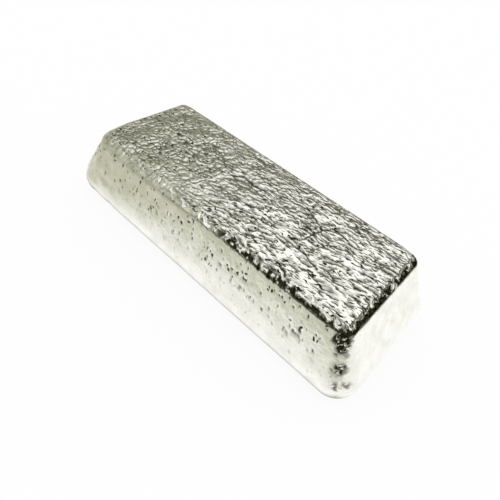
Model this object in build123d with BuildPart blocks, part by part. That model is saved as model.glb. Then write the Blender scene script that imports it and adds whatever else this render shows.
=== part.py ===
from build123d import *

import os
from math import radians, tan

# A cast hafnium ingot, lying on its wider face. That face was the open side of the mould:
# the metal drew itself into a soft round edge there and sank a little in the middle as it
# froze. The narrower face above was the floor of the mould, so its edges are crisp.
# Millimetres. +X runs along the bar, +Y across it and +Z up, and the origin is on the
# surface that the ingot lies on, under its middle.

# The mould's floor, which is the ingot's upper face
face_length = 151.0
face_width = 57.4

# The depth of metal in the mould, and how far the mould's walls lean out, from upright
height = 33.8
end_draft = 28.3
side_draft = 19.5

# The round edge of the wider face, and the small bevel round the upper face
toe_radius = 8.0
crest_bevel = 1.5

# The radius of each corner in plan, going round from the one at -X -Y. The mould's floor
# gave the upper face its own corners. The wider face's corners are softer than the round
# edge that turns them by these amounts, and no two of them filled out alike.
face_corner_radii = (11.0, 3.4, 5.0, 2.6)
toe_corner_softness = (12.0, 5.5, 7.0, 7.0)

# The shrinkage hollow in the middle of the wider face
sink_length = 118.0
sink_width = 34.0
sink_depth = 1.1


def rim(length, width, radii, z):
    """The edge of a face at height z: a rectangle with a radius of its own at each corner."""
    x, y = length / 2, width / 2
    corners = [(-x, -y, z), (x, -y, z), (x, y, z), (-x, y, z)]
    return FilletPolyline(*corners, radius=radii, close=True)


def wall(low, high):
    """The skin between an edge of the wider face and the one above it. It is flat between
    straight edges. Between two arcs it is the leaning corner, whose radius changes upwards."""
    if low.geom_type == GeomType.LINE:
        return Face(Wire.make_polygon([low @ 0, low @ 1, high @ 1, high @ 0]))
    return Face.make_surface_from_curves(low, high)


# How far the walls would reach out if the wider face had sharp edges
base_length = face_length + 2 * height * tan(radians(end_draft))
base_width = face_width + 2 * height * tan(radians(side_draft))
base_corner_radii = [toe_radius + softness for softness in toe_corner_softness]

# The drafted body, from the wider face up to the mould's floor
wide_rim = rim(base_length, base_width, base_corner_radii, 0)
upper_rim = rim(face_length, face_width, face_corner_radii, height)
walls = [wall(low, high) for low, high in zip(wide_rim.edges(), upper_rim.edges())]
drafted_body = Solid(Shell([Face(wide_rim), Face(upper_rim), *walls]))

with BuildPart() as ingot:
    add(drafted_body)

    # The soft edge that the metal drew round itself, and the crisp one from the mould
    fillet(ingot.faces().sort_by(Axis.Z)[0].edges(), toe_radius)
    chamfer(ingot.faces().sort_by(Axis.Z)[-1].edges(), crest_bevel)

    # The hollow is part of a barrel that lies along the bar, with its axis under the face.
    # Across the bar it is an arc through the hollow's two edges and its deepest line.
    barrel_radius = (sink_width**2 / 4 + sink_depth**2) / (2 * sink_depth)
    barrel_axis = sink_depth - barrel_radius
    with BuildSketch(Plane.XZ) as barrel:
        with BuildLine():
            ThreePointArc((-sink_length / 2, 0), (0, sink_depth), (sink_length / 2, 0))
            Polyline(
                (sink_length / 2, 0),
                (sink_length / 2, barrel_axis),
                (-sink_length / 2, barrel_axis),
                (-sink_length / 2, 0),
            )
        make_face()
    revolve(axis=Axis((0, 0, barrel_axis), (1, 0, 0)), mode=Mode.SUBTRACT)

ingot.part.label = "ingot"

os.makedirs("parts", exist_ok=True)
export_step(ingot.part, "parts/ingot.step")
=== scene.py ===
from math import cos, pi, radians, sin, tan

import bpy
import numpy as np
from mathutils import Matrix, Vector


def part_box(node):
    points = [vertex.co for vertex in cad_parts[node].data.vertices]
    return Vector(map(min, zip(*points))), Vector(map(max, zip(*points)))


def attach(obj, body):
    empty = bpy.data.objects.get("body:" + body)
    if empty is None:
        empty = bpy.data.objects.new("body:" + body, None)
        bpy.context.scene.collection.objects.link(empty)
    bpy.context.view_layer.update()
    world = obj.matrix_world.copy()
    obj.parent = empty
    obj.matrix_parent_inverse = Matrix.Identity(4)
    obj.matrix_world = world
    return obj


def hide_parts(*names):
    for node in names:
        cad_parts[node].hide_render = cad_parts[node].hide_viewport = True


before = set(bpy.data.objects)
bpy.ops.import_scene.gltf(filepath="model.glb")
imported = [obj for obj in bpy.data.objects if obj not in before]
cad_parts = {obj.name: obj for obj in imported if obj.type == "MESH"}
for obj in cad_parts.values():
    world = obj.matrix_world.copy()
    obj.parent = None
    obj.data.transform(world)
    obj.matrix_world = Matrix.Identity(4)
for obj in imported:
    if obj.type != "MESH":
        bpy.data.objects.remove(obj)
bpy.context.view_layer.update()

# Blender works in metres. The casting's form and relief are worked out in millimetres.
MM = 0.001
low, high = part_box("ingot")

# The form of the casting, as the solid has it. The corners' radii go round from -X -Y, and
# the hollow in the underside has a length, a width and a depth.
FACE_LENGTH = 151.0
FACE_WIDTH = 57.4
HEIGHT = high[2] / MM
END_DRAFT = radians(28.3)
SIDE_DRAFT = radians(19.5)
TOE_RADIUS = 8.0
FACE_CORNERS = (11.0, 3.4, 5.0, 2.6)
BASE_CORNERS = (20.0, 13.5, 15.0, 15.0)
HOLLOW = (118.0, 34.0, 1.1)

# The radius of the edge round the upper face, and what parts of it have more than that
CREST_RADIUS = 2.8
LEFT_CREST_EXTRA = 2.6
NEAR_CREST_EXTRA = 1.8
SOFT_CREST_EXTRA = 1.6
FAR_CREST_EXTRA = 1.2


# Camera

CAMERA_AZIMUTH = 33.46
CAMERA_ELEVATION = 46.28
CAMERA_ROLL = 12.78
CAMERA_DISTANCE = 0.2046
CAMERA_TARGET = Vector((0.00857, 0.00043, 0.0))
CAMERA_LENS = 29.05
CAMERA_SENSOR = 36.0
CAMERA_CLIP = 0.005


def make_camera():
    """Looks down on the near end and one long side, rolled as the photograph is."""
    a, e, r = radians(CAMERA_AZIMUTH), radians(CAMERA_ELEVATION), radians(CAMERA_ROLL)
    back = Vector((sin(a) * cos(e), -cos(a) * cos(e), sin(e)))
    right = Vector((0, 0, 1)).cross(back).normalized()
    up = back.cross(right)
    rolled_right = right * cos(r) + up * sin(r)
    rolled_up = up * cos(r) - right * sin(r)
    data = bpy.data.cameras.new("camera")
    data.lens = CAMERA_LENS
    data.sensor_width = CAMERA_SENSOR
    data.clip_start = CAMERA_CLIP
    camera = bpy.data.objects.new("camera", data)
    turn = Matrix((rolled_right, rolled_up, back)).transposed().to_4x4()
    camera.matrix_world = Matrix.Translation(CAMERA_TARGET + back * CAMERA_DISTANCE) @ turn
    bpy.context.collection.objects.link(camera)
    bpy.context.scene.camera = camera


# Noise

# Each noise: its seed, and the size of its grains in millimetres
GRAINS = {
    "dashes": (1, (3.2, 1.25, 2.2)),
    "folds": (2, (7.0, 2.6, 4.5)),
    "dimples": (3, (2.3, 1.9, 2.0)),
    "swell": (4, (11, 7, 9)),
    "folded patches": (5, 5.0),
    "worms": (6, (3.6, 2.6, 3.0)),
    "lumps": (7, (3.0, 2.4, 2.4)),
    "mottle": (8, (2.2, 2.2, 1.8)),
    "rugged patches": (9, (17, 11, 12)),
    "chips": (10, 1.6),
    "warp x": (11, 5.0),
    "warp y": (12, 5.0),
    "warp z": (13, 5.0),
    "fine warp x": (14, 2.2),
    "fine warp y": (15, 2.2),
    "fine warp z": (16, 2.2),
    "slashes": (17, (1.1, 3.0, 1.0)),
    "pocks": (18, (1.4, 1.4, 2.1)),
    "clusters": (19, (7, 7, 5)),
    "far corner": (21, 5.0),
}
LATTICE_SIZE = 256
NOISE_GAIN = 1.6


def lattice(seed):
    """A shuffled table of directions, for gradient noise."""
    rng = np.random.default_rng(seed)
    table = rng.permutation(LATTICE_SIZE)
    vectors = rng.normal(size=(LATTICE_SIZE, 3))
    return table, vectors / np.linalg.norm(vectors, axis=1)[:, None]


def noise(points, name):
    """The smooth gradient noise of that name, between about -1 and 1."""
    seed, size = GRAINS[name]
    table, vectors = lattice(seed)
    last = LATTICE_SIZE - 1
    p = points / np.asarray(size, float)
    cell = np.floor(p).astype(int)
    part = p - cell
    fade = part * part * part * (part * (part * 6 - 15) + 10)
    total = np.zeros(len(p))
    for corner in range(8):
        offset = np.array([corner & 1, corner >> 1 & 1, corner >> 2 & 1])
        c = cell + offset
        key = table[(table[(table[c[:, 0] & last] + c[:, 1]) & last] + c[:, 2]) & last]
        weight = np.prod(np.where(offset, fade, 1 - fade), axis=1)
        total += weight * np.einsum("ij,ij->i", vectors[key], part - offset)
    return total * NOISE_GAIN


def warp(points, name):
    """A pull on each point, along each axis by a noise of its own."""
    return np.stack([noise(points, f"{name} {axis}") for axis in "xyz"], 1)


def smooth(x, low_edge, high_edge):
    """0 below low_edge, 1 above high_edge and a soft step between them."""
    t = np.clip((x - low_edge) / (high_edge - low_edge), 0, 1)
    return t * t * (3 - 2 * t)


# The casting's mesh. Loops of points run round it, each starting in the middle of the corner
# at -X -Y, with as many cells on each side and each half of a corner.

SIDE_CELLS = (384, 152)
CORNER_CELLS = (20, 10, 12, 10)
CREST_ROWS = 8
UPPER_WALL_ROWS = 10
UPPER_WALL_LOW = 24.0
LOWER_WALL_ROWS = 13
TOE_ROWS = 14
UNDERSIDE_SHARES = (0.93, 0.85, 0.76, 0.66, 0.54, 0.41, 0.27, 0.13)
HALVED_LOOPS = (1, 4)


def rim(length, width, radii):
    """Points round a rectangle with round corners, and the direction in which each one faces."""
    half = np.array([length / 2, width / 2])
    signs = np.array([(-1, -1), (1, -1), (1, 1), (-1, 1)])
    points, facing = [], []
    for k in range(4):
        n = (k + 1) % 4
        cells, first, last = SIDE_CELLS[k % 2], CORNER_CELLS[k], CORNER_CELLS[n]
        cell = np.arange(cells)
        along = np.clip((cell - first) / (cells - first - last), 0, 1)[:, None]
        turn = np.clip((cell - cells + last) / last, 0, 1) - np.clip(1 - cell / first, 0, 1)
        angle = (k - 1) * pi / 2 + turn * pi / 4
        out = np.stack([np.cos(angle), np.sin(angle)], 1)
        centre = signs[k] * (half - radii[k]) * (1 - along) + signs[n] * (half - radii[n]) * along
        points.append(centre + out * (radii[k] * (1 - along) + radii[n] * along))
        facing.append(out)
    return np.concatenate(points), np.concatenate(facing)


def crest_radius(face):
    """The radius of the edge round the upper face, which is softest along its left side."""
    x, y = face.T
    left = smooth(-y, 10, 27)
    soft = left * smooth(-x, 2, 34)
    far_end = smooth(-x, 70, 75)
    near_end = smooth(x, 64, 74)
    radius = CREST_RADIUS + LEFT_CREST_EXTRA * left * (1 - near_end) + NEAR_CREST_EXTRA * near_end
    return radius + SOFT_CREST_EXTRA * soft + FAR_CREST_EXTRA * far_end * (1 - soft)


def skin(z, face, base, facing, crest):
    """A loop of points on the casting at height z, inside its sharp-edged walls."""
    lean = np.einsum("ij,ij->i", base - face, facing) / HEIGHT
    secant = np.sqrt(1 + lean**2)
    out = (HEIGHT - z) * lean
    over_crest = z > HEIGHT - crest * (1 - lean / secant)
    arc = np.sqrt(np.maximum(crest**2 - (z - HEIGHT + crest) ** 2, 0))
    inset = np.where(over_crest, out - (crest * (lean - secant) + arc), 0)
    under_toe = z < TOE_RADIUS * (1 + lean / secant)
    arc = np.sqrt(np.maximum(TOE_RADIUS**2 - (TOE_RADIUS - z) ** 2, 0))
    toe_centre = (HEIGHT - TOE_RADIUS) * lean - TOE_RADIUS * secant
    inset = np.where(under_toe, out - (toe_centre + arc), inset)
    share = ((HEIGHT - z) / HEIGHT)[:, None]
    flat = face * (1 - share) + base * share - facing * inset[:, None]
    return np.column_stack([flat, z])


def face_grid(edge):
    """The upper face as a grid that follows its four edges, and the indices of its rim."""
    long, wide = SIDE_CELLS
    edge = np.concatenate([edge, edge[:1]])[:, :2]
    south, east = edge[: long + 1], edge[long : long + wide + 1]
    north, west = edge[long + wide : 2 * long + wide + 1][::-1], edge[2 * long + wide :][::-1]
    u = np.linspace(0, 1, long + 1)[:, None, None]
    v = np.linspace(0, 1, wide + 1)[None, :, None]
    sides = (1 - v) * south[:, None] + v * north[:, None]
    ends = (1 - u) * west[None] + u * east[None]
    corners = (1 - u) * ((1 - v) * south[0] + v * north[0])
    corners = corners + u * ((1 - v) * south[-1] + v * north[-1])
    flat = (sides + ends - corners).reshape(-1, 2)
    index = np.arange(len(flat)).reshape(long + 1, wide + 1)
    loop = np.concatenate([index[:-1, 0], index[-1, :-1], index[:0:-1, -1], index[0, :0:-1]])
    quads = np.stack([index[:-1, :-1], index[1:, :-1], index[1:, 1:], index[:-1, 1:]], -1)
    return np.column_stack([flat, np.full(len(flat), HEIGHT)]), quads.reshape(-1, 4), loop


def bridge(upper, lower):
    """Faces between two loops of indices: the lower has as many points, or half as many."""
    upper_next, lower_next = np.roll(upper, -1), np.roll(lower, -1)
    if len(upper) == len(lower):
        return [tuple(f) for f in np.stack([upper, lower, lower_next, upper_next], 1)]
    a, b, c = upper[::2], upper[1::2], upper_next[1::2]
    faces = [tuple(f) for f in np.stack([a, lower, b], 1)]
    faces += [tuple(f) for f in np.stack([b, lower, lower_next], 1)]
    return faces + [tuple(f) for f in np.stack([b, lower_next, c], 1)]


def loops():
    """The loops of the casting from the rim of its upper face down to the wider face."""
    face, facing = rim(FACE_LENGTH, FACE_WIDTH, FACE_CORNERS)
    base_length = FACE_LENGTH + 2 * HEIGHT * tan(END_DRAFT)
    base_width = FACE_WIDTH + 2 * HEIGHT * tan(SIDE_DRAFT)
    base, _ = rim(base_length, base_width, BASE_CORNERS)
    lean = np.arctan(np.einsum("ij,ij->i", base - face, facing) / HEIGHT)
    crest = crest_radius(face)
    whole = face, base, facing, crest
    half = tuple(part[::2] for part in whole)
    rows = []
    for share in np.linspace(0, 1, CREST_ROWS + 1):
        rows.append(skin(HEIGHT - crest * (1 - np.cos((pi / 2 - lean) * share)), *whole))
    top = HEIGHT - crest * (1 - np.sin(lean))
    for share in np.linspace(0, 1, UPPER_WALL_ROWS + 1)[1:]:
        rows.append(skin(top + (UPPER_WALL_LOW - top) * share, *whole))
    toe_top = (TOE_RADIUS * (1 + np.sin(lean)))[::2]
    for share in np.linspace(0, 1, LOWER_WALL_ROWS + 1)[1:]:
        rows.append(skin(UPPER_WALL_LOW + (toe_top - UPPER_WALL_LOW) * share, *half))
    for share in np.linspace(1, 0, TOE_ROWS + 1)[1:]:
        rows.append(skin(TOE_RADIUS * (1 - np.cos((pi / 2 + lean[::2]) * share)), *half))
    return rows


def hollowed(loop):
    """A loop on the underside, raised where it crosses the shrinkage hollow."""
    length, width, depth = HOLLOW
    barrel_axis = depth - (width**2 / 4 + depth**2) / (2 * depth)
    crown = depth * (1 - (2 * loop[:, 0] / length) ** 2) - barrel_axis
    rise = np.sqrt(np.maximum(crown**2 - loop[:, 1] ** 2, 0)) + barrel_axis
    return np.column_stack([loop[:, :2], np.maximum(rise, 0)])


def casting_mesh():
    """Points and faces of the smooth closed casting, before any relief."""
    rows = loops()
    points, quads, loop = face_grid(rows[0])
    blocks, faces = [points], [tuple(q) for q in quads]
    count = len(points)
    edge = rows[-1]
    rows = rows[1:]
    for number, share in enumerate(UNDERSIDE_SHARES):
        edge = edge[::2] if number in HALVED_LOOPS else edge
        rows.append(hollowed(edge * share))
    for block in rows:
        below = np.arange(count, count + len(block))
        faces += bridge(loop, below)
        blocks.append(block)
        count += len(block)
        loop = below
    blocks.append(hollowed(np.zeros((1, 2))))
    faces += [(a, count, b) for a, b in zip(loop, np.roll(loop, -1))]
    return np.concatenate(blocks), faces


def normals_of(points, faces):
    """Smooth normals, from the areas of the faces round each point."""
    total = np.zeros_like(points)
    for size in (3, 4):
        some = np.array([f for f in faces if len(f) == size])
        across = points[some[:, 2]] - points[some[:, 0]]
        other = points[some[:, size - 1]] - points[some[:, 1]]
        side = points[some[:, 1]] - points[some[:, 0]]
        face_normal = np.cross(across, other) if size == 4 else np.cross(side, across)
        for k in range(size):
            np.add.at(total, some[:, k], face_normal)
    return total / np.linalg.norm(total, axis=1)[:, None]


# The relief

# The dashes and folds run at this angle from the bar, and the scars are torn at the other
FLOW = radians(10)
SLASH = radians(45)

# Depths in millimetres
DASH_DEPTH = 0.27
FOLD_DEPTH = 0.22
DIMPLE_DEPTH = 0.19
WORM_DEPTH = 0.17
CRACK_DEPTH = 0.3
SWELL_DEPTH = 0.6
EDGE_DEPTH = 0.6
LUMP_DEPTH = 0.42
CHIP_DEPTH = 0.24
SCAR_DEPTH = 0.5
FAR_CORNER_DEPTH = 0.4
MOTTLE_DEPTH = 0.045
POCK_DEPTH = 0.28

# Widths of thin marks: the share of a noise that folds and worms take, and a crack's reach
THIN = 0.12
CRACK_WIDTH = 0.9

# Cracks in the upper face, as lines of points in plan
CRACKS = (
    ((25, 13.5), (31, 10.5), (38, 7), (41.5, 12.5), (47, 11.6)),
    ((38, 7), (37, 1), (36.5, -3.5)),
    ((39.9, -10), (45.9, -11.8), (49.9, -12.6)),
    ((36.7, -22), (42, -24), (46, -26.5)),
    ((-12, 3), (-8, 7), (-1, 5.5), (6, 6.5)),
)

# Scars down the near left edge, where the metal tore on the mould: their places and radii
SCARS = (
    ((74.6, -29.6, 30.0), 4.4),
    ((76.0, -30.9, 27.2), 3.3),
    ((79.4, -32.6, 19.0), 3.4),
    ((81.6, -35.0, 12.6), 1.9),
    ((84.4, -31.9, 13.8), 1.6),
)

# Shallow dents in the upper face: the place of each in plan, its radius and its depth
DENTS = (
    ((-6, 4), 8, 0.45),
    ((-36, 13), 6, 0.35),
    ((-65, 22), 6, 0.35),
    ((22, 17), 7, 0.35),
    ((44, 9), 6, 0.3),
    ((-52, -10), 7, 0.3),
)


def near_line(points, line, width):
    """1 on a line in plan and 0 further than width from it."""
    closest = np.full(len(points), np.inf)
    for start, end in zip(line, line[1:]):
        start, end = np.array(start, float), np.array(end, float)
        run = end - start
        share = np.clip((points[:, :2] - start) @ run / (run @ run), 0, 1)
        away = points[:, :2] - start - share[:, None] * run
        closest = np.minimum(closest, np.linalg.norm(away, axis=1))
    return 1 - smooth(closest, 0, width)


def thin(value):
    """1 where a noise crosses zero, and soon 0 beside that line."""
    return np.exp(-((value / THIN) ** 2))


def scarred(points, lumps):
    """1 in the scars, with ragged outlines."""
    most = np.zeros(len(points))
    for place, radius in SCARS:
        away = np.linalg.norm(points - place, axis=1) / radius
        most = np.maximum(most, 1 - smooth(away + 0.35 * lumps, 0.55, 1.15))
    return most


def dented(points, swell):
    """The depth of the shallow dents, in millimetres."""
    total = np.zeros(len(points))
    for (dent_x, dent_y), radius, sunk in DENTS:
        away = np.hypot(points[:, 0] - dent_x, points[:, 1] - dent_y) / radius
        total += sunk * (1 - smooth(away + 0.3 * swell, 0, 1))
    return total


def relief(points, normals):
    """How deep each point lies below the smooth form, and weights for the material's marks and its
    painted shade and reflection.
    """
    x, y, z = points.T
    rise = normals[:, 2]

    # Parts of the casting. The near part of the upper face is streaked, the far one hammered.
    up = smooth(rise, 0.45, 0.95)
    wall = 1 - smooth(rise, 0.45, 0.8)
    side = wall * (1 - 0.9 * smooth(np.abs(normals[:, 0]), 0.4, 0.8))
    edge = smooth(rise, 0.5, 0.72) * (1 - smooth(rise, 0.97, 0.998))
    near = smooth(x - 0.5 * y, -25, 15)
    right = smooth(y + 0.03 * x, 12, 24)
    left_edge = smooth(-y, 20, 26)
    near_edge = smooth(x, 69, 72)
    far_corner = smooth(-x - y, 84, 100)

    flow = points @ np.array([[cos(FLOW), -sin(FLOW), 0], [sin(FLOW), cos(FLOW), 0], [0, 0, 1]])
    pull = warp(points, "warp")
    fine_pull = warp(points, "fine warp")
    bent = flow + pull * 1.3 + fine_pull * 0.35

    dashes = smooth(-noise(bent, "dashes"), 0.0, 0.45)
    folds = thin(noise(bent, "folds")) * smooth(noise(points, "folded patches"), -0.2, 0.3)
    dimples = smooth(-noise(points + pull * 0.8, "dimples"), -0.1, 0.6)
    worms = thin(noise(points + pull, "worms"))
    cracks = [near_line(points + fine_pull * 0.8, line, CRACK_WIDTH) for line in CRACKS]
    crack = np.max(cracks, axis=0)
    swell = noise(points, "swell")
    lumps = noise(points + fine_pull * 0.8, "lumps")
    chips = noise(points + fine_pull, "chips")
    mottle = noise(points + pull, "mottle")
    scar = scarred(points, lumps)
    slashed = points @ np.array(Matrix.Rotation(SLASH, 3, "X"))
    slash = noise(slashed + fine_pull * 0.5, "slashes")
    pocks = smooth(-noise(points + fine_pull * 0.5, "pocks"), 0.45, 0.62) * side * smooth(z, 12, 24)

    # The upper face is rougher in some places and in its dents, and smoother along its right
    dents = dented(points, swell)
    rugged = (1 + 0.5 * noise(points, "rugged patches") + 2 * dents) * (1 - 0.45 * right)
    streaked = DASH_DEPTH * dashes + FOLD_DEPTH * folds
    hammered = DIMPLE_DEPTH * dimples + WORM_DEPTH * worms
    depth = up * rugged * (near * streaked + (1 - near) * hammered) + up * (CRACK_DEPTH * crack + dents)
    depth += (0.15 + 0.4 * up) * SWELL_DEPTH * (1 + swell)
    lumpy = 1 - 0.6 * smooth(-x, 0, 25)
    depth += edge * (EDGE_DEPTH + lumpy * (LUMP_DEPTH * lumps + CHIP_DEPTH * chips))
    depth += SCAR_DEPTH * scar * smooth(-slash, -0.1, 0.3)
    depth += FAR_CORNER_DEPTH * far_corner * (1 + noise(points, "far corner"))
    depth += MOTTLE_DEPTH * wall * (1 + mottle) + POCK_DEPTH * pocks

    # Painted shade in the deep marks, cracks, pocks and torn scars, and a ragged band of painted
    # dark reflection under the near and left edges, go into the colour as one weight
    painted_shade_and_reflection = near * (0.5 * dashes + 0.5 * folds) + (1 - near) * (0.3 * dimples + 0.5 * worms)
    ragged = smooth(lumps + 0.7 * chips + 2.2 * (0.8 - rise), -0.2, 0.0)
    frayed = rise + left_edge * (1 - near_edge) * (0.10 * chips + 0.10 * lumps)
    painted_reflection_band = np.maximum(left_edge * smooth(x, 2, 14), near_edge) * ragged
    painted_reflection_band = painted_reflection_band * smooth(frayed, 0.49, 0.56) * (1 - smooth(rise, 0.93, 0.98))
    painted_shade_and_reflection = np.maximum(up * np.maximum(painted_shade_and_reflection * rugged, crack), painted_reflection_band)
    # The torn scars are painted dark as shade
    torn = 1.3 * scar * smooth(-slash, -0.12, 0.12) * smooth(rise, -0.1, 0.1)
    painted_shade_and_reflection = np.maximum(np.maximum(painted_shade_and_reflection, torn), pocks)

    # Small pits lie high on the sides, in clusters, and thin out towards the far end. The material
    # sinks them and paints them dark as shade.
    clustered = smooth(noise(points, "clusters"), -0.35, 0.1)
    clustered = np.maximum(clustered, smooth(x, 40, 60) * smooth(z, 10, 20))
    pitted = side * smooth(z, 6, 24) * clustered * (0.3 + 0.7 * smooth(x, -60, -10))
    weights = {"painted_shade_and_reflection": painted_shade_and_reflection, "streaked": up * near, "hammered": up * (1 - near)}
    return depth, {**weights, "pitted": pitted, "scarred": scar}


def casting():
    """The ingot itself: one closed mesh, with its relief pressed into the smooth form."""
    points, faces = casting_mesh()
    normals = normals_of(points, faces)
    depth, weights = relief(points, normals)
    points = points - normals * depth[:, None]
    points = np.clip(points, np.array(low) / MM, np.array(high) / MM) * MM
    mesh = bpy.data.meshes.new("ingot_casting")
    mesh.from_pydata(points.tolist(), [], faces)
    for name, weight in weights.items():
        values = np.clip(weight, 0, 1)
        mesh.attributes.new(name, "FLOAT", "POINT").data.foreach_set("value", values)
    mesh.shade_smooth()
    piece = bpy.data.objects.new("ingot_casting", mesh)
    bpy.context.collection.objects.link(piece)
    mesh.materials.append(hafnium())
    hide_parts("ingot")
    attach(piece, "root")
    return piece


# Materials

def node(tree, kind, inputs=None, **settings):
    """A shader node with its properties set, and its inputs linked or given values."""
    made = tree.nodes.new(kind)
    for name, value in settings.items():
        setattr(made, name, value)
    for socket, value in (inputs or {}).items():
        if isinstance(value, bpy.types.NodeSocket):
            tree.links.new(value, made.inputs[socket])
        else:
            made.inputs[socket].default_value = value
    return made


def blend(tree, share, first, second):
    """The first colour where share is 0 and the second where it is 1."""
    return node(tree, "ShaderNodeMix", {0: share, 6: first, 7: second}, data_type="RGBA").outputs[2]


def calculate(tree, operation, first, second, third=0.0):
    """One sum on numbers."""
    inputs = {0: first, 1: second, 2: third}
    return node(tree, "ShaderNodeMath", inputs, operation=operation).outputs[0]


def step(tree, value, start, end, low_value=0.0, high_value=1.0):
    """A soft step from low_value, where value is start, to high_value, where it is end."""
    inputs = {0: value, 1: start, 2: end, 3: low_value, 4: high_value}
    return node(tree, "ShaderNodeMapRange", inputs, interpolation_type="SMOOTHSTEP").outputs[0]


def on_vector(tree, operation, first, second=(0, 0, 0), scale=1.0, output=0):
    """One sum on vectors."""
    inputs = {0: first, 1: second, 3: scale}
    return node(tree, "ShaderNodeVectorMath", inputs, operation=operation).outputs[output]


def grain(tree, place, scale, detail):
    """Noise in place, with this many grains to each of its units."""
    inputs = {"Vector": place, "Scale": scale, "Detail": detail}
    return node(tree, "ShaderNodeTexNoise", inputs)


# The metal's colour from place to place, the near-black colour painted into its marks as shade, and its
# roughness
DULL_METAL = (0.75, 0.75, 0.68, 1)
BRIGHT_METAL = (0.88, 0.88, 0.83, 1)
PAINTED_SHADE_COLOUR = (0.02, 0.02, 0.008, 1)
ROUGHNESS = (0.10, 0.24)

# Sizes in millimetres of the grains of the strokes, pits and slashes
STROKE_SIZE = (2.8, 0.85, 1.6)
PIT_SIZE = (1.8, 1.8, 3.0)
SLASH_SIZE = (1.1, 3.2, 0.8)
PIT_TILT = (0, radians(-20), 0)
SLASH_TILT = (radians(40), radians(25), 0)

# In millimetres, how far the marks are pulled about and how high the bump is
PULL = 2.2
BUMP_HEIGHT = 0.14


def hafnium():
    """Bright cast metal with a faint olive cast, and painted shade in the marks where its skin folded
    and tore, with a band of painted dark reflection under two edges.
    """
    material = bpy.data.materials.new("cast_hafnium")
    material.use_nodes = True
    tree = material.node_tree
    shader = tree.nodes["Principled BSDF"]
    shader.inputs["Metallic"].default_value = 1.0

    def weight(name):
        """One of the mesh's weights."""
        return node(tree, "ShaderNodeAttribute", attribute_name=name).outputs["Fac"]

    def stretched(turn, size):
        """Places in units of this size along axes turned by this much."""
        inputs = {"Vector": bent, "Rotation": turn, "Scale": size}
        return node(tree, "ShaderNodeMapping", inputs, vector_type="TEXTURE").outputs[0]

    # Places in millimetres, and the same places pulled about so that no mark runs straight
    metres = node(tree, "ShaderNodeTexCoord").outputs["Object"]
    place = on_vector(tree, "SCALE", metres, scale=1 / MM)
    pull = on_vector(tree, "SUBTRACT", grain(tree, place, 0.4, 1.0).outputs["Color"], (0.5, 0.5, 0.5))
    bent = on_vector(tree, "ADD", place, on_vector(tree, "SCALE", pull, scale=PULL))

    # Short strokes along the near part of the upper face, and specks on its far part, both sunk and
    # painted dark as shade
    along = stretched((0, 0, FLOW), STROKE_SIZE)
    strokes = step(tree, grain(tree, along, 1.0, 1.0).outputs["Fac"], 0.43, 0.35)
    specks = step(tree, grain(tree, bent, 0.75, 1.5).outputs["Fac"], 0.43, 0.31)
    strokes = calculate(tree, "MULTIPLY", strokes, weight("streaked"))
    specks = calculate(tree, "MULTIPLY", specks, weight("hammered"))
    marks = calculate(tree, "MAXIMUM", strokes, specks)

    # Small pits high on the walls, taller than wide, in some of a pattern's cells, painted dark as
    # shade
    upright = stretched(PIT_TILT, PIT_SIZE)
    cells = node(tree, "ShaderNodeTexVoronoi", {"Vector": upright, "Scale": 1.0})
    pit = step(tree, cells.outputs["Distance"], 0.38, 0.24)
    chosen = node(tree, "ShaderNodeSeparateColor", {0: cells.outputs["Color"]}).outputs[0]
    pit = calculate(tree, "MULTIPLY", pit, step(tree, chosen, 0.45, 0.8))
    pit = calculate(tree, "MULTIPLY", pit, weight("pitted"))

    # The scars are torn into slashes, painted dark as shade
    slanted = stretched(SLASH_TILT, SLASH_SIZE)
    torn = step(tree, grain(tree, slanted, 1.0, 1.0).outputs["Fac"], 0.57, 0.52)
    pit = calculate(tree, "MAXIMUM", pit, calculate(tree, "MULTIPLY", torn, weight("scarred")))

    mottle = grain(tree, place, 0.16, 6.0).outputs["Fac"]
    tone = blend(tree, step(tree, mottle, 0.3, 0.7), DULL_METAL, BRIGHT_METAL)
    # Painted shade and reflection: the marks and the mesh's weight darken the colour to near black
    marks = calculate(tree, "MAXIMUM", marks, pit)
    dark = calculate(tree, "MAXIMUM", calculate(tree, "MULTIPLY", weight("painted_shade_and_reflection"), 1.05), marks)
    shade = blend(tree, dark, tone, PAINTED_SHADE_COLOUR)
    tree.links.new(shade, shader.inputs["Base Color"])
    tree.links.new(step(tree, mottle, 0.2, 0.8, *ROUGHNESS), shader.inputs["Roughness"])

    # The strokes, specks and pits are sunk, and a fine orange peel covers the whole casting
    peel = grain(tree, place, 0.8, 3.0).outputs["Fac"]
    sunk = calculate(tree, "MULTIPLY_ADD", marks, -0.6, peel)
    bump = node(tree, "ShaderNodeBump", {"Height": sunk, "Strength": 0.6, "Distance": BUMP_HEIGHT * MM})
    tree.links.new(bump.outputs[0], shader.inputs["Normal"])
    return material


# Floor and light

FLOOR_HALF_SIZE = 3.0
WHITE = (1, 1, 1, 1)
MATTE_WHITE = (0.95, 0.95, 0.95, 1)
# The colour of the painted shadow round the ingot's footprint, in what the metal mirrors
PAINTED_SHADOW = (0, 0, 0, 1)

# Painted reflection: what the floor glows with for glossy rays, so what the metal mirrors of it: close
# by, along the left side, in the distance and beyond the far end. A painted shadow darkens that glow
# close to the ingot's footprint, whose half size is this.
PAINTED_REFLECTION_BESIDE = (1.14, 1.14, 1.14, 1)
PAINTED_REFLECTION_LEFT = (0.66, 0.66, 0.54, 1)
PAINTED_REFLECTION_DISTANT = (0.60, 0.60, 0.54, 1)
PAINTED_REFLECTION_BEYOND = (0.52, 0.52, 0.42, 1)
FOOTPRINT = (0.080, 0.029, 0)

# The share of the floor's own white in what is seen of it. The rest is the light on it, with
# the ingot's shadow.
FLOOR_OWN_LIGHT = 0.9

# What the metal mirrors of the room beyond the far end, low down, and how bright the room is
ROOM_LOW = (0.42, 0.42, 0.34, 1)
ROOM_STRENGTH = 1.25

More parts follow.
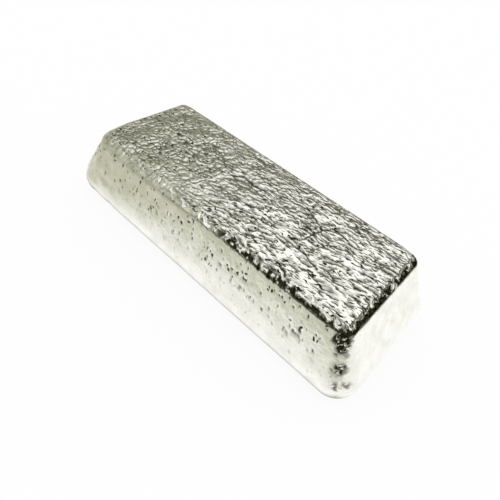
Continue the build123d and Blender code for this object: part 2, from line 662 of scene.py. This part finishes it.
# Directions: to the far end, to the left of it, and to the side where the ceiling's edge is
# higher, by so much
FAR_END = (-1, 0, 0)
FAR_LEFT = (-0.966, -0.259, 0)
RAISED_SIDE = (-0.4, -0.92, 0)
CEILING_RAISE = 0.25


def make_floor():
    """A plain white table. For glossy rays it glows with a painted reflection, white beside the ingot
    and grey further away, and a painted shadow round the ingot.
    """
    s = FLOOR_HALF_SIZE
    mesh = bpy.data.meshes.new("floor")
    mesh.from_pydata([(-s, -s, 0), (s, -s, 0), (s, s, 0), (-s, s, 0)], [], [(0, 1, 2, 3)])
    floor = bpy.data.objects.new("floor", mesh)
    bpy.context.collection.objects.link(floor)
    material = bpy.data.materials.new("floor")
    material.use_nodes = True
    mesh.materials.append(material)
    tree = material.node_tree
    tree.nodes.remove(tree.nodes["Principled BSDF"])
    place = node(tree, "ShaderNodeTexCoord").outputs["Object"]

    # In the painted reflection it turns a little grey along the ingot's left side
    left = on_vector(tree, "LENGTH", on_vector(tree, "MINIMUM", place), output=1)
    beside = blend(tree, step(tree, left, 0.055, 0.15), PAINTED_REFLECTION_BESIDE, PAINTED_REFLECTION_LEFT)
    # In the painted reflection it is grey in the distance, and a little darker beyond the far end
    across = node(tree, "ShaderNodeSeparateXYZ", {0: on_vector(tree, "NORMALIZE", place)}).outputs["X"]
    distance = blend(tree, step(tree, across, -0.42, -0.62), PAINTED_REFLECTION_DISTANT, PAINTED_REFLECTION_BEYOND)
    reach = on_vector(tree, "LENGTH", place, output=1)
    open_floor = blend(tree, step(tree, reach, 0.24, 0.36), beside, distance)
    # Painted shadow: where the ingot touches it, its glow for glossy rays darkens
    outside = on_vector(tree, "SUBTRACT", on_vector(tree, "ABSOLUTE", place), FOOTPRINT)
    gap = node(tree, "ShaderNodeSeparateXYZ", {0: outside})
    gap = calculate(tree, "MAXIMUM", gap.outputs["X"], gap.outputs["Y"])
    mirrored = blend(tree, step(tree, gap, 0.003, 0.013, 0.35), PAINTED_SHADOW, open_floor)

    path = node(tree, "ShaderNodeLightPath").outputs
    matte = node(tree, "ShaderNodeBsdfDiffuse", {"Color": MATTE_WHITE}).outputs[0]
    lit = node(tree, "ShaderNodeEmission").outputs[0]
    share = calculate(tree, "MULTIPLY", path["Is Camera Ray"], FLOOR_OWN_LIGHT)
    seen = node(tree, "ShaderNodeMixShader", {0: share, 1: matte, 2: lit}).outputs[0]
    # Glossy rays see the painted reflection and painted shadow as a glow
    glow = node(tree, "ShaderNodeEmission", {"Color": mirrored}).outputs[0]
    whole = node(tree, "ShaderNodeMixShader", {0: path["Is Glossy Ray"], 1: seen, 2: glow})
    tree.links.new(whole.outputs[0], tree.nodes["Material Output"].inputs["Surface"])


def make_world():
    """White all round, but the metal mirrors a room that is dark halfway up, under a white ceiling."""
    world = bpy.data.worlds.new("studio")
    world.use_nodes = True
    bpy.context.scene.world = world
    tree = world.node_tree
    direction = node(tree, "ShaderNodeTexCoord").outputs["Generated"]
    height = node(tree, "ShaderNodeSeparateXYZ", {0: direction}).outputs["Z"]

    def towards(vector, start, end):
        """0 to 1 as the direction turns towards vector."""
        return step(tree, on_vector(tree, "DOT_PRODUCT", direction, vector, output=1), start, end)

    def ramp(value, *stops):
        """A colour for each height of the direction, which is the sine of its elevation."""
        made = node(tree, "ShaderNodeValToRGB", {0: value})
        elements = made.color_ramp.elements
        for at, _ in stops[2:]:
            elements.new(at)
        for element, (at, colour) in zip(elements, stops):
            element.position = at
            element.color = (*colour, 1)
        return made.outputs["Color"]

    # Over the near end the white ceiling has a sharp edge, which is higher on one side
    raised = towards(RAISED_SIDE, 0.0, 0.5)
    near = ramp(
        calculate(tree, "MULTIPLY_ADD", raised, -CEILING_RAISE, height),
        (0.0, (0.60, 0.60, 0.54)),
        (0.26, (0.20, 0.20, 0.15)),
        (0.48, (0.035, 0.035, 0.018)),
        (0.54, (0.04, 0.04, 0.02)),
        (0.595, (0.30, 0.30, 0.26)),
        (0.655, (0.98, 0.98, 0.96)),
        (0.74, (1.08, 1.08, 1.08)),
        (0.88, (1.05, 1.05, 1.05)),
        (0.98, (0.62, 0.62, 0.59)),
    )
    # Beyond the far end the room is grey and brightens upwards from its darkest height
    far = ramp(
        height,
        (0.0, (0.50, 0.50, 0.44)),
        (0.30, (0.16, 0.16, 0.12)),
        (0.55, (0.32, 0.32, 0.25)),
        (0.78, (0.62, 0.62, 0.54)),
        (0.90, (0.85, 0.85, 0.81)),
        (0.98, (0.62, 0.62, 0.59)),
    )
    low_far = node(tree, "ShaderNodeMix", {
        0: towards(FAR_LEFT, 0.68, 0.80), 6: far, 7: ROOM_LOW,
    }, data_type="RGBA", blend_type="LIGHTEN").outputs[2]
    room = blend(tree, towards(FAR_END, 0.40, 0.60), near, low_far)
    room = on_vector(tree, "SCALE", room, scale=ROOM_STRENGTH)
    mirrored = node(tree, "ShaderNodeLightPath").outputs["Is Glossy Ray"]
    tree.links.new(blend(tree, mirrored, WHITE, room), tree.nodes["Background"].inputs["Color"])


make_camera()
make_floor()
make_world()
casting()
bpy.context.scene.view_settings.view_transform = "Standard"
